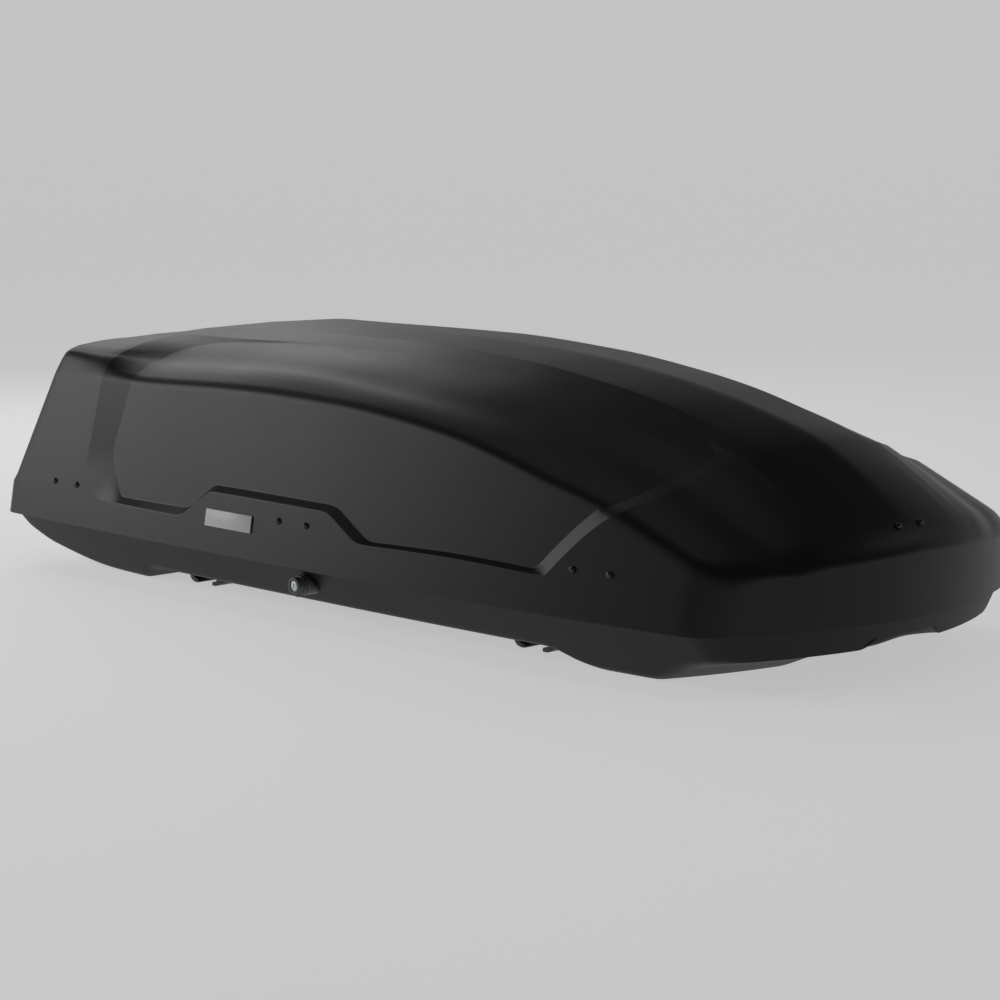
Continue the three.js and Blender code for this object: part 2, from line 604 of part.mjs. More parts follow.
// ---------------------------------------------------------------- lid lifters
// Each arm is as long as its pivot is far from the hinge, so its roller stays on the track while the arm turns
// twice as far as the lid.
const TRACK_LOW = HINGE_Z + ROLLER_R + 0.3;
const TRACK_END = 140; // the roller stops short of this
const TRACK_STEP = 8; // past it the track stands higher, clear of the arm's eye
for (const [place, x] of Object.entries(LIFTER_XS)) {
  const floorZ = RIM_Z + Math.max(RECESS_Z(x - 24), RECESS_Z(x + 24)) + SKIN + 2.2;
  const foot = block([x - 24, -40, floorZ], [x + 24, 40, floorZ + 5]);
  const webShape = outline([[-26, floorZ + 3], [26, floorZ + 3], [9, HINGE_Z], [-9, HINGE_Z]]);
  const web = plateX(webShape, x + 5, x + 13);
  const hub = rod("x", 9, x + 5, x + 13, [0, HINGE_Z], 16);
  const axle = rod("x", 5, x - 12, x + 8, [0, HINGE_Z], 16);
  add(`lifter_bracket_${place}`, join(foot, web, hub, axle), BLACK_STEEL);

  const bar = block([x - 4, -HINGE_Y, HINGE_Z - 5], [x + 4, 0, HINGE_Z + 5]);
  const eye = rod("x", 10, x - 4, x + 4, [0, HINGE_Z], 16);
  const tip = rod("x", 5, x - 4, x + 4, [-HINGE_Y, HINGE_Z], 12);
  const stub = rod("x", 3, x - 15, x, [-HINGE_Y, HINGE_Z], 10);
  const bore = rod("x", 5.4, x - 6, x + 6, [0, HINGE_Z], 16);
  add(`lifter_arm_${place}`, cut(join(bar, eye, tip, stub), bore), STEEL);

  const wheel = rod("x", ROLLER_R, x - 14, x - 5, [-HINGE_Y, HINGE_Z], 20);
  add(`lifter_roller_${place}`, cut(wheel, rod("x", 3.3, x - 16, x, [-HINGE_Y, HINGE_Z], 10)), TRIM_PLASTIC);

  const wall = Math.min(lidInnerY(x - 22, ARM_HIGH), lidInnerY(x + 22, ARM_HIGH)) - 1.5;
  const post = Math.min(HINGE_Y + 9, wall - 1);
  const track = [
    [-post, TRACK_LOW],
    [-TRACK_END, TRACK_LOW],
    [-TRACK_END + 20, TRACK_LOW + TRACK_STEP],
    [post, TRACK_LOW + TRACK_STEP],
    [post, ARM_LOW],
    [wall, ARM_LOW],
    [wall, ARM_HIGH],
    [post - 12, ARM_HIGH - 8],
    [post - 12, TRACK_LOW + 20],
    [12 - post, TRACK_LOW + 20],
    [12 - post, ARM_HIGH - 8],
    [-wall, ARM_HIGH],
    [-wall, ARM_LOW],
    [-post, ARM_LOW],
  ];
  add(`lifter_track_${place}`, plateX(outline(track), x - 20, x + 20), BLACK_STEEL);
}

// ---------------------------------------------------------------- crossbar clamps
const CLAMP = { halfX: 66, halfY: 28, low: RIM_Z - 72, high: RIM_Z - 44, slotX: 60, slotY: 23 };
const JAW_Z = RIM_Z - 61;
const JAW_OUT = 38;
const clampCorners = Object.entries(CLAMP_PLACES).flatMap(([place, [x, y]]) =>
  sides.map(([side, sign]) => ({ name: `${side}_${place}`, x, y: sign * y })));

for (const { name, x, y } of clampCorners) {
  const body = block(
    [x - CLAMP.halfX, y - CLAMP.halfY, CLAMP.low],
    [x + CLAMP.halfX, y + CLAMP.halfY, CLAMP.high],
  );
  const flangeIn = Math.sign(y) * 12;
  const flange = block(
    [x - CLAMP.halfX - 14, y - flangeIn / 2 - CLAMP.halfY - 6, baseFloorZ + GAP],
    [x + CLAMP.halfX + 14, y - flangeIn / 2 + CLAMP.halfY + 6, baseFloorZ + 6],
  );
  const pocket = block(
    [x - CLAMP.slotX, y - CLAMP.slotY, CLAMP.low - 1],
    [x + CLAMP.slotX, y + CLAMP.slotY, CLAMP.high - 6],
  );
  const bores = [-1, 1].map((end) => rod("y", 4.5, y - 26.6, y + 26.6, [x + end * JAW_OUT, JAW_Z], 10));
  const spindleHole = rod("z", 5.6, CLAMP.high - 10, CLAMP.high + 1, [x, y], 12);
  add(`clamp_housing_${name}`, cut(join(body, flange), pocket, ...bores, spindleHole), TRIM_PLASTIC);

  const grip = new THREE.Shape();
  const lobes = 6;
  for (let i = 0; i <= lobes * 6; i += 1) {
    const angle = (i / (lobes * 6)) * Math.PI * 2;
    const radius = 24 + 2.2 * Math.cos(lobes * angle);
    grip[i ? "lineTo" : "moveTo"](radius * Math.cos(angle), radius * Math.sin(angle));
  }
  const handle = new THREE.ExtrudeGeometry(grip, { depth: 20, bevelEnabled: false });
  handle.translate(x, y, CLAMP.high + 2);
  const spindle = rod("z", 5, CLAMP.high - 20, CLAMP.high + 4, [x, y], 12);
  const pointer = block([x - 3, y - 14, CLAMP.high + 21], [x + 3, y + 18, CLAMP.high + 26]);
  add(`clamp_knob_${name}`, join(solid(handle), spindle, pointer), KNOB_PLASTIC);

  for (const [end, turn] of [["fore", 1], ["aft", -1]]) {
    const hook = new THREE.Shape();
    const at = (dx, dz) => [x + turn * (JAW_OUT + dx), JAW_Z + dz];
    hook.moveTo(...at(8, 0));
    hook.quadraticCurveTo(...at(12, -17), ...at(3, -25));
    hook.quadraticCurveTo(...at(-6, -31), ...at(-18, -28.5));
    hook.lineTo(...at(-17, -22.5));
    hook.quadraticCurveTo(...at(-8, -24), ...at(-4, -17));
    hook.quadraticCurveTo(...at(-1, -9), ...at(-8, 0));
    const jaw = plateY(hook, y - 22, y + 22, 4);
    const hub = rod("y", 8, y - 22, y + 22, [x + turn * JAW_OUT, JAW_Z], 14);
    const trunnion = rod("y", PIN_R, y - 26, y + 26, [x + turn * JAW_OUT, JAW_Z], 10);
    add(`clamp_jaw_${name}_${end}`, join(jaw, hub, trunnion), BLACK_STEEL);
  }
}

// ---------------------------------------------------------------- tub
const BASE_STATIONS = stations(BASE_HALF, BASE_CORNER, [-860, -790, -720, -650, -590, -575, -561, -548, -535,
  -400, -250, -100, 60, 200, 330, 440, 530, 545, 560, 585, 605, 650, 720, 790, 840, 870, 890]);
const knobHole = rod("y", SHAFT_R + 1.2, -440, -340, knobPlace, 16);
const clampHoles = clampCorners.map(({ x, y }) =>
  block(
    [x - CLAMP.halfX - GAP, y - CLAMP.halfY - GAP, RIM_Z - 80],
    [x + CLAMP.halfX + GAP, y + CLAMP.halfY + GAP, RIM_Z - 40],
  ));
const tub = cut(shell(baseSection, baseX, BASE_STATIONS, BASE_HALF), knobHole, ...clampHoles);
add("base_tub", tub, TUB_PLASTIC);

export default group;
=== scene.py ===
# %% [markdown]
# # A roof cargo box
# The box is a long hard case for a car's roof: a deep lid with a pointed nose, on a shallow tub. Both are
# sheets of black plastic pulled over a mould, so almost everything that the eye sees is two thin curved
# skins. This lesson builds those skins finely, dresses the fittings, and lights them softly. Everything that
# moves was settled before, and is loaded here as a fixed frame. Lengths in the shape formulas are
# millimetres. Blender's are metres.

# %% Load the frame
import json
import math

import bmesh
import bpy
import numpy as np
from mathutils import Matrix, Vector
from mathutils.geometry import delaunay_2d_cdt
from mathutils.kdtree import KDTree


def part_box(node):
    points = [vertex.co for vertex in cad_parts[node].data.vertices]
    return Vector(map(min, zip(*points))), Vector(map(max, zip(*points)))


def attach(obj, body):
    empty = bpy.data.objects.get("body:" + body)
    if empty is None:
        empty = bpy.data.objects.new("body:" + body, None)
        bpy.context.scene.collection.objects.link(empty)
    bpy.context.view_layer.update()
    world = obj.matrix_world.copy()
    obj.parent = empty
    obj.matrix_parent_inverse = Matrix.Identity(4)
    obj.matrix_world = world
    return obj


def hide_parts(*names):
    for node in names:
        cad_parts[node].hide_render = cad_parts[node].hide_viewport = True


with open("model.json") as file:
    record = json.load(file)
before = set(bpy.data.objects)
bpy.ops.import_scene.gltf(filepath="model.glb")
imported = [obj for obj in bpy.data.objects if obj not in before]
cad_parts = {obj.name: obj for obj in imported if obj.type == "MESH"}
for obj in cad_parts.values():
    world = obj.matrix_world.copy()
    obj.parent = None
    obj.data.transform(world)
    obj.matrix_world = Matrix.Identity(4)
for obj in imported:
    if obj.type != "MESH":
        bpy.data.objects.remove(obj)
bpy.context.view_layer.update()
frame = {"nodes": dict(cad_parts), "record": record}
nodes = frame["nodes"]

# %% [markdown]
# ## Sizes
# The lid's half length, half width and lower edge come from its own solid in the frame, and the tub follows
# from them. The rest are the proportions that give the box its character: how far the sides lean in, how the
# nose is bowed, and how the tail slopes over its low upright band.

# %% Sizes
MM = 1000
lid_low, lid_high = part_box("lid_shell")
HALF_LENGTH = lid_high.x * MM
HALF_WIDTH = lid_high.y * MM
RIM_Z = lid_low.z * MM
SKIN = 4
SIDE_LEAN = 0.17
NOSE_BOW = 0.00076
LID_CORNER = 42
LID_TOP_ROUND = 20
REAR_BAND = 65  # height of the tail's upright band
REAR_SLOPE = 0.44
REAR_STEP = 7
BASE_INSET = 16
BASE_HALF = HALF_LENGTH - BASE_INSET
BASE_LIP = 8
BASE_SLOPE = 0.714
BASE_CORNER = 30
FRONT_LEAN = 0.4
print("lid:", round(2 * HALF_LENGTH), "by", round(2 * HALF_WIDTH), "mm, rim at", round(RIM_Z), "mm")

# %% [markdown]
# ## Curves along the box
# A designer draws a few long lines from tail to nose, and the skin follows them: the crown in the middle, the
# ridges beside it, the shoulder, and the crease where the roof turns into the side. Each line has a handful
# of heights, joined by a curve that never overshoots. This one is the monotone cubic, written for whole
# arrays at once.

# %% Smooth curves through a few stations
def profile(*knots):
    stations, values = np.array(knots, float).T
    spans = np.diff(stations)
    slopes = np.diff(values) / spans
    before, after = slopes[:-1], slopes[1:]
    product = before * after
    inner = np.where(product > 0, 2 * product / np.where(product > 0, before + after, 1), 0)
    tangents = np.concatenate([slopes[:1], inner, slopes[-1:]])

    def value(x):
        i = np.clip(np.searchsorted(stations, x, side="left") - 1, 0, len(spans) - 1)
        t = np.clip((x - stations[i]) / spans[i], 0, 1)
        rise = t * t * (3 - 2 * t)
        bend = t * (1 - t) * spans[i]
        bulge = bend * ((1 - t) * tangents[i] - t * tangents[i + 1])
        return values[i] + (values[i + 1] - values[i]) * rise + bulge

    return value


def smoothstep(x, low, high):
    t = np.clip((x - low) / (high - low), 0, 1)
    return t * t * (3 - 2 * t)


CROWN_Z = profile((-950, 337), (-780, 349), (-600, 363), (-420, 368), (-100, 370), (182, 359), (384, 338),
                  (497, 319), (609, 294), (730, 258), (850, 192), (950, 122))
RIDGE_Z = profile((-950, 335), (-780, 346), (-600, 360), (-420, 364), (-97, 366), (182, 353), (384, 330),
                  (497, 311), (609, 284), (730, 248), (770, 228), (850, 184), (950, 118))
PANEL_Z = profile((-950, 333), (-600, 352), (-302, 359), (-33, 358), (240, 343), (424, 319), (531, 299),
                  (642, 272), (730, 244), (770, 224), (850, 180), (950, 116))
SHOULDER_Z = profile((-950, 325), (-560, 320), (-380, 327), (-180, 333), (121, 313), (253, 300), (373, 284),
                     (512, 262), (628, 239), (750, 200), (950, 106))
CREASE_Z = profile((-950, 287), (-570, 288), (-250, 295), (0, 291), (215, 275), (349, 259), (469, 237),
                   (581, 213), (715, 185), (821, 149), (950, 99))
RIDGE_Y = profile((-950, 165), (-600, 150), (-414, 125), (950, 125))
PANEL_Y = profile((-950, 206), (-498, 208), (-316, 192), (-34, 175), (240, 165), (950, 162))
SHOULDER_Y = profile((-950, 358), (-720, 350), (-540, 304), (120, 310), (373, 290), (628, 262), (950, 262))
LOBE_Z = profile((-934, -18), (-860, -63), (-690, -94), (-590, -96), (-561, -78), (-535, -70), (530, -70),
                 (560, -74), (605, -90), (650, -96), (745, -96), (870, -60), (934, -46))
RECESS_Z = profile((-934, -16), (-860, -30), (-600, -32), (-555, -70), (545, -70), (590, -32), (900, -30),
                   (934, -30))
print("crown over the rim, in mm:", [round(float(CROWN_Z(x))) for x in (-900, 0, 900)])

# %% [markdown]
# ## The plan
# Seen from above, the sides are nearly straight and draw in towards the nose, and the nose itself is bowed. A
# station line is bent by the same bow, so that the nose and every line behind it share one curve.

# %% Half width, bow and round ends
def half_width(x):
    ahead = np.clip((x + 400) / 1238, 0, None)
    behind = np.clip((x + 400) / 550, None, 0)
    return HALF_WIDTH - 52 * ahead ** 3.2 - 12 * behind ** 2


def bow(station):
    return NOSE_BOW * smoothstep(station, 0, 900)


def station_half_width(station):
    y = np.full_like(station, HALF_WIDTH)
    for _ in range(6):
        y = half_width(station - bow(station) * y * y)
    return y


def end_round(station, half, radius):
    into = np.clip(np.abs(station) - (half - radius), 0, None) / radius
    return 1 - np.sqrt(np.clip(1 - into * into, 0, None))


def lid_x(station, y, height):
    lean = REAR_SLOPE * np.clip(height - REAR_BAND, 0, None) * (1 - smoothstep(station, -HALF_LENGTH, -590))
    at_rear = 1 - smoothstep(station, -HALF_LENGTH, -HALF_LENGTH + 90)
    step = REAR_STEP * smoothstep(height, REAR_BAND - 7, REAR_BAND + 5) * at_rear
    return station - bow(station) * y * y + lean + step


def base_x(station, y, height):
    lean = FRONT_LEAN * np.clip(height, None, 0) * smoothstep(station, 700, HALF_LENGTH)
    return station - bow(station) * y * y + lean


print("half width at the nose corners:", round(float(half_width(838.0))), "mm")

# %% [markdown]
# ## Sections
# Across the box, a section is a chain of straight runs between key points, with each corner rounded by its
# own radius: crisp at the ridge, broad at the shoulder, tight at the crease. A place on the skin is then just
# two numbers, the station u and the distance s along the section from the middle, and the skin can be laid
# out flat.

# %% Keys of the lid's and the tub's sections
LID_SPANS = np.array([0, 125, 165, 300, 410, 700.0])
LID_ROUNDS = {1: 5, 2: 5, 3: 70, 4: 18}
LID_SWELLS = {2: 3, 3: 4}
BASE_SPANS = np.array([0, 72, 110, 220, 350, 366, 470, 480.0])
BASE_ROUNDS = {1: 12, 2: 12, 4: 6, 5: 8, 6: 3}


def lid_keys(station):
    end = end_round(station, HALF_LENGTH, LID_CORNER)
    drop = LID_TOP_ROUND * end
    rim = station_half_width(station)
    crease_height = CREASE_Z(station) - drop
    crease_y = rim - SIDE_LEAN * crease_height
    shrink = (crease_y - LID_CORNER * end) / crease_y
    ys = [0 * rim, RIDGE_Y(station), PANEL_Y(station), SHOULDER_Y(station), crease_y]
    zs = [CROWN_Z(station), RIDGE_Z(station), PANEL_Z(station), SHOULDER_Z(station), CREASE_Z(station)]
    keys = [(y * shrink, z - drop) for y, z in zip(ys, zs)] + [(rim - LID_CORNER * end, 0 * rim)]
    return np.array(keys).transpose(2, 0, 1)


def base_keys(station):
    end = end_round(station, BASE_HALF, BASE_CORNER)
    lobe, recess = LOBE_Z(station), RECESS_Z(station)
    rim = station_half_width(station) - BASE_INSET
    floor_y = rim + BASE_SLOPE * lobe
    shrink = (floor_y - BASE_CORNER * end) / floor_y
    flat = 0 * rim
    channel = [(flat, recess), (flat + 72, recess)]
    floor = channel + [(flat + 100, lobe), (flat + 220, lobe), (floor_y - 14, lobe), (floor_y, lobe + 5)]
    keys = [(y * shrink, z) for y, z in floor]
    keys += [(rim - BASE_CORNER * end, flat), (rim - BASE_CORNER * end, flat + BASE_LIP)]
    return np.array(keys).transpose(2, 0, 1)


# %% [markdown]
# A corner is rounded by a quadratic curve that starts and ends on the two runs beside it. A gentle swell is
# added on the runs that bulge a little.

# %% A point on a rounded section
def section_point(keys, spans, rounds, swells, s):
    rows = np.arange(len(s))
    i = np.clip(np.searchsorted(spans, s, side="right") - 1, 0, len(spans) - 2)
    f = ((s - spans[i]) / (spans[i + 1] - spans[i]))[:, None]
    start, end = keys[rows, i], keys[rows, i + 1]
    point = start + (end - start) * f
    for k, radius in rounds.items():
        before, key, after = keys[:, k - 1], keys[:, k], keys[:, k + 1]
        length_in = np.linalg.norm(key - before, axis=1)
        length_out = np.linalg.norm(after - key, axis=1)
        reach = np.minimum(radius, 0.45 * np.minimum(length_in, length_out))
        into = np.where(i == k - 1, -(1 - f[:, 0]) * length_in, f[:, 0] * length_out)
        near = ((i == k - 1) | (i == k)) & (np.abs(into) < reach)
        a = key + (before - key) * (reach / length_in)[:, None]
        b = key + (after - key) * (reach / length_out)[:, None]
        t = ((into + reach) / (2 * reach))[:, None]
        curve = (1 - t) ** 2 * a + 2 * t * (1 - t) * key + t ** 2 * b
        point = np.where(near[:, None], curve, point)
    for k, height in swells.items():
        bump = np.where(i == k, 16 * height * f[:, 0] ** 2 * (1 - f[:, 0]) ** 2, 0)
        point[:, 1] += bump
    return point


def lid_point(station, s):
    y, z = section_point(lid_keys(station), LID_SPANS, LID_ROUNDS, LID_SWELLS, s).T
    return np.stack([lid_x(station, y, z), -y, z + RIM_Z], 1)


def base_point(station, s):
    y, z = section_point(base_keys(station), BASE_SPANS, BASE_ROUNDS, {}, s).T
    return np.stack([base_x(station, y, z), -y, z + RIM_Z], 1)


# %% [markdown]
# ## The pressed band
# On each side a large panel is pressed into the lid, and the slope round its edge reads as a band. It runs
# low along the side, rises over the lock, climbs at the front, turns back in an arrowhead on the roof, and
# returns along the crown. The band's two edges are closed loops. Each is drawn with the few points that turn
# it, as a place on the side (forward, height) or on the roof (forward, out), and laid out flat.

# %% Lay places on the side and the roof out flat
def laid_out(surface, x, y=None, height=None):
    station = np.array([float(x)])
    for _ in range(12):
        keys = lid_keys(station)[0]
        if y is not None:
            s = np.interp(y, keys[:, 0], LID_SPANS)
        else:
            s = np.interp(-height, -keys[4:, 1], LID_SPANS[4:])
        station = station + (x - surface(station, np.array([s]))[0, 0])
    return np.array([station[0], s])


def side(x, height, turn=0):
    return laid_out(lid_point, x, height=height), turn


def roof(x, y, turn=0):
    return laid_out(lid_point, x, y=y), turn


def crossing(x, turn=0):
    """A place on the crease itself."""
    station = np.array([float(x)])
    for _ in range(12):
        station = station + (x - lid_point(station, LID_SPANS[4:5])[0, 0])
    return np.array([station[0], LID_SPANS[4]]), turn


def rounded_loop(corners, step=5):
    """A closed outline through (place, turn radius) corners, as evenly spaced points."""
    loop = []
    for k, (corner, turn) in enumerate(corners):
        before = corners[k - 1][0] - corner
        after = corners[(k + 1) % len(corners)][0] - corner
        turn = min(turn, 0.45 * np.linalg.norm(before), 0.45 * np.linalg.norm(after))
        a = corner + before / np.linalg.norm(before) * turn
        b = corner + after / np.linalg.norm(after) * turn
        pieces = max(1, math.ceil(1.6 * turn / step))
        for t in np.linspace(0, 1, pieces + 1) if turn else [0]:
            loop.append((1 - t) ** 2 * a + 2 * t * (1 - t) * corner + t ** 2 * b)
    closed = []
    for start, end in zip(loop, loop[1:] + loop[:1]):
        count = max(1, round(np.linalg.norm(end - start) / step))
        closed += [start + (end - start) * n / count for n in range(count)]
    return np.array(closed)


BAND_OUTER = rounded_loop([
    side(-680, 116, 20), side(-634, 56, 14), side(-374, 53, 16), side(-298, 105, 16), side(22, 103, 18),
    side(102, 59, 18), side(530, 58, 10), crossing(663, 10),
    roof(690, 315, 40), roof(692, 256, 40), roof(733, 154, 8), roof(727, 138, 6), roof(700, 125, 8),
    roof(600, 125), roof(380, 125), roof(180, 125), roof(-90, 125), roof(-400, 125, 40),
    roof(-560, 138, 60), roof(-660, 190, 90), roof(-664, 300, 60), crossing(-660, 12),
])
BAND_INNER = rounded_loop([
    side(-612, 139, 26), side(-568, 68, 12), side(-360, 70, 14), side(-296, 118, 14), side(34, 116, 16),
    side(124, 66, 16), side(504, 67, 10), crossing(633, 10),
    roof(658, 325, 40), roof(656, 280, 30), roof(684, 196, 8), roof(680, 178, 8), roof(652, 161, 12),
    roof(520, 162), roof(416, 164), roof(237, 165), roof(-34, 175, 60), roof(-316, 192, 90),
    roof(-520, 225, 60), roof(-585, 285, 50), crossing(-574, 12),
])
print("band edges:", len(BAND_OUTER), "and", len(BAND_INNER), "points")


# %% [markdown]
# On the flat layout, a place between the two loops lies on a ramp, as deep as its share of the way across.
# The wall of a pressed panel slopes like this, so that the sheet leaves its mould.

# %% How deep the skin lies at each place
def inside(loop, places):
    """Which places lie inside a closed loop, by counting the edges that a ray to the right crosses."""
    x, y = places[:, :1], places[:, 1:]
    a, b = loop, np.roll(loop, -1, 0)
    spans_y = (a[:, 1] > y) != (b[:, 1] > y)
    rise = np.where(b[:, 1] == a[:, 1], 1, b[:, 1] - a[:, 1])
    return (spans_y & (x < (b[:, 0] - a[:, 0]) * (y - a[:, 1]) / rise + a[:, 0])).sum(1) % 2 == 1


def distance_to(loop, places):
    """From each place to the nearest edge of a closed loop."""
    nearest = np.full(len(places), np.inf)
    for start, run in zip(loop, np.roll(loop, -1, 0) - loop):
        t = np.clip((places - start) @ run / (run @ run), 0, 1)
        nearest = np.minimum(nearest, np.linalg.norm(places - start - t[:, None] * run, axis=1))
    return nearest


PANEL_DEPTH = 8


def band_depth(places):
    """Nothing outside the band, a ramp across it, and the full depth on the panel that it frames."""
    to_outer, to_inner = distance_to(BAND_OUTER, places), distance_to(BAND_INNER, places)
    ramp = np.where(inside(BAND_OUTER, places), to_outer / (to_outer + to_inner), 0)
    ramp = np.where(inside(BAND_INNER, places), 1, ramp)
    return PANEL_DEPTH * ramp


# %% [markdown]
# ## From a flat layout to a skin
# The flat layout is filled with triangles whose edges follow the band exactly, by a constrained Delaunay
# triangulation. A grid point too near to a loop is left out first, because it would only make slivers.

# %% Fill a flat region with triangles
LOOP_CLEARANCE = 3.2


def offset_loop(loop, amount):
    tangent = np.roll(loop, -1, 0) - np.roll(loop, 1, 0)
    normal = np.stack([-tangent[:, 1], tangent[:, 0]], 1) / np.linalg.norm(tangent, axis=1)[:, None]
    area = np.sum(loop[:, 0] * np.roll(loop[:, 1], -1) - loop[:, 1] * np.roll(loop[:, 0], -1))
    return loop + normal * amount * np.sign(area)


def layout(columns, rows, loops):
    """Triangles over a grid of columns and rows, with the loops as edges."""
    grid = np.array([(u, s) for u in columns for s in rows])
    if loops:
        edge_points = np.concatenate(loops)
        tree = KDTree(len(edge_points))
        for k, (u, s) in enumerate(edge_points):
            tree.insert((u, s, 0), k)
        tree.balance()
        inner = (np.abs(grid[:, 0]) < columns[-1]) & (grid[:, 1] > rows[0]) & (grid[:, 1] < rows[-1])
        close = np.array([tree.find((u, s, 0))[2] < LOOP_CLEARANCE for u, s in grid])
        grid = grid[~(inner & close)]
    points = [grid] + loops
    edges = []
    base = len(grid)
    for loop in loops:
        count = len(loop)
        edges += [(base + k, base + (k + 1) % count) for k in range(count)]
        base += count
    flat = [Vector(p) for p in np.concatenate(points)]
    made = delaunay_2d_cdt(flat, edges, [], 0, 1e-4, False)
    return np.array([tuple(v) for v in made[0]]), np.array([f for f in made[2] if len(f) == 3])


def end_grid(top, flank):
    """The closed end of a shell, as a grid: the chain over the top is carried down between the two flanks."""
    chain = np.concatenate([top[::-1], top[1:] * [-1, 1]])
    down = np.linspace(0, 1, len(flank))[:, None]
    across = chain[:, 0] * (flank[:, :1] / flank[0, 0])
    height = flank[:, 1:] + (chain[:, 1] - flank[0, 1]) * (1 - down)
    count = len(chain)
    corner = (np.arange(len(flank) - 1)[:, None] * count + np.arange(count - 1)).ravel()
    quads = np.stack([corner, corner + 1, corner + count + 1, corner + count], 1)
    return np.stack([across.ravel(), height.ravel()], 1), quads


# %% [markdown]
# Only then is each point lifted to its place on the curved shell. Half of the skin is made so, and the other
# half is its mirror image. Each end is closed by a grid that fits the end's own outline, so that its shading
# stays even.

# %% Build a whole skin
NARROWEST_ROW = 0.9
END_COLUMNS = 9
ROUND_ROWS = 7


def even(low, high, step):
    return np.linspace(low, high, max(2, round((high - low) / step) + 1))


def columns_along(half, radius, step):
    bends = half - radius + radius * np.sin(np.linspace(0, math.pi / 2, END_COLUMNS)[1:])
    middle = even(-(half - radius), half - radius, step)
    return np.concatenate([-bends[::-1], middle, bends])


def rows_across(spans, rounds, step):
    rows = [even(a, b, step) for a, b in zip(spans[:-1], spans[1:])]
    for k, radius in rounds.items():
        rows.append(spans[k] + radius * np.linspace(-1, 1, ROUND_ROWS))
    rows = np.unique(np.round(np.concatenate(rows), 3))
    keep = [0] + [k for k in range(1, len(rows)) if rows[k] - rows[k - 1] > NARROWEST_ROW]
    rows = rows[keep]
    rows[-1] = spans[-1]
    return rows


def surface_normal(point_at, places):
    u, s = places.T
    du = point_at(u + 0.5, s) - point_at(u - 0.5, s)
    ds = point_at(u, s + 0.5) - point_at(u, s - 0.5)
    normal = np.cross(ds, du)
    return normal / np.linalg.norm(normal, axis=1)[:, None]


def build_skin(name, point_at, place_x, spans, rounds, edge_key, half, radius, step, up, loops=(),
               depth_at=None):
    """A shell's outer skin: the flat layout lifted and mirrored, and both ends closed."""
    columns = columns_along(half, radius, step)
    rows = rows_across(spans, rounds, step)
    places, faces = layout(columns, rows, list(loops))
    places[:, 0] = np.clip(places[:, 0], -half, half)
    places[:, 1] = np.clip(places[:, 1], spans[0], spans[-1])
    points = point_at(*places.T)
    if depth_at is not None:
        normal = surface_normal(point_at, np.clip(places, [-half + 1, 1], [half - 1, spans[-1] - 1]))
        points = points - normal * depth_at(places)[:, None]
    right = faces[:, ::-1] if up else faces
    all_points = [points, points * [1, -1, 1]]
    all_faces = right.tolist() + (right[:, ::-1] + len(points)).tolist()
    base = 2 * len(points)
    for end in (-1, 1):
        rim = np.flatnonzero(np.abs(places[:, 0] - end * half) < 1e-3)
        rim = rim[np.argsort(places[rim, 1])]
        turn = np.argmin(np.abs(places[rim, 1] - spans[edge_key]))
        yz = points[rim][:, 1:]
        end_places, quads = end_grid(yz[:turn + 1], yz[turn:])
        x = place_x(np.full(len(end_places), end * half), end_places[:, 0], end_places[:, 1] - RIM_Z)
        all_points.append(np.column_stack([x, end_places]))
        facing = end if up else -end
        all_faces += ((quads if facing < 0 else quads[:, ::-1]) + base).tolist()
        base += len(end_places)
    mesh = bpy.data.meshes.new(name)
    mesh.from_pydata((np.concatenate(all_points) / MM).tolist(), [], all_faces)
    skin = bpy.data.objects.new(name, mesh)
    bpy.context.scene.collection.objects.link(skin)
    shape = bmesh.new()
    shape.from_mesh(mesh)
    bmesh.ops.remove_doubles(shape, verts=shape.verts, dist=2e-5)
    bmesh.ops.dissolve_degenerate(shape, edges=shape.edges, dist=1e-5)
    open_edges = [edge for edge in shape.edges if len(edge.link_faces) != 2]
    turned = sum(not edge.is_contiguous for edge in shape.edges if len(edge.link_faces) == 2)
    heights = {round(vertex.co.z * MM, 1) for edge in open_edges for vertex in edge.verts}
    shape.to_mesh(mesh)
    shape.free()
    print(name, "faces:", len(mesh.polygons), "open only at heights:", sorted(heights)[:4], "turned:", turned)
    return skin


# %% [markdown]
# ## Working like a hand does
# Every operator acts on what is selected, so each step starts by letting go of everything and picking one
# piece.

# %% Small helpers
def pick(piece):
    bpy.ops.object.select_all(action="DESELECT")
    piece.select_set(True)
    bpy.context.view_layer.objects.active = piece


def apply_modifiers(piece):
    pick(piece)
    for modifier in list(piece.modifiers):
        bpy.ops.object.modifier_apply(modifier=modifier.name)


def smooth(piece, angle=40):
    pick(piece)
    bpy.ops.object.shade_smooth_by_angle(angle=math.radians(angle))


def settle(piece):
    """Moves a piece's place into its mesh, so that its object sits at the origin."""
    pick(piece)
    bpy.ops.object.transform_apply(location=True, rotation=True, scale=True)


def finish_piece(piece, body, slot, *replaced):
    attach(piece, body)
    if replaced:
        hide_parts(*replaced)


# %% [markdown]
# ## The lid
# Real lids are about 4 mm of ABS. Solidify gives the skin that wall, inwards, so the outside keeps its exact
# shape. A guard line runs close on each side of the band's edges, and keeps the shading of the bend from
# spreading.

# %% Lid
EDGE_GUARD = 1.6
LID_CREASE_KEY = 4
LID_STEP = 15
SMOOTH_UNDER = 50  # degrees between faces that still shade as one


def thicken(skin):
    wall = skin.modifiers.new("wall", "SOLIDIFY")
    wall.thickness = SKIN / MM
    wall.offset = -1
    apply_modifiers(skin)
    smooth(skin, SMOOTH_UNDER)


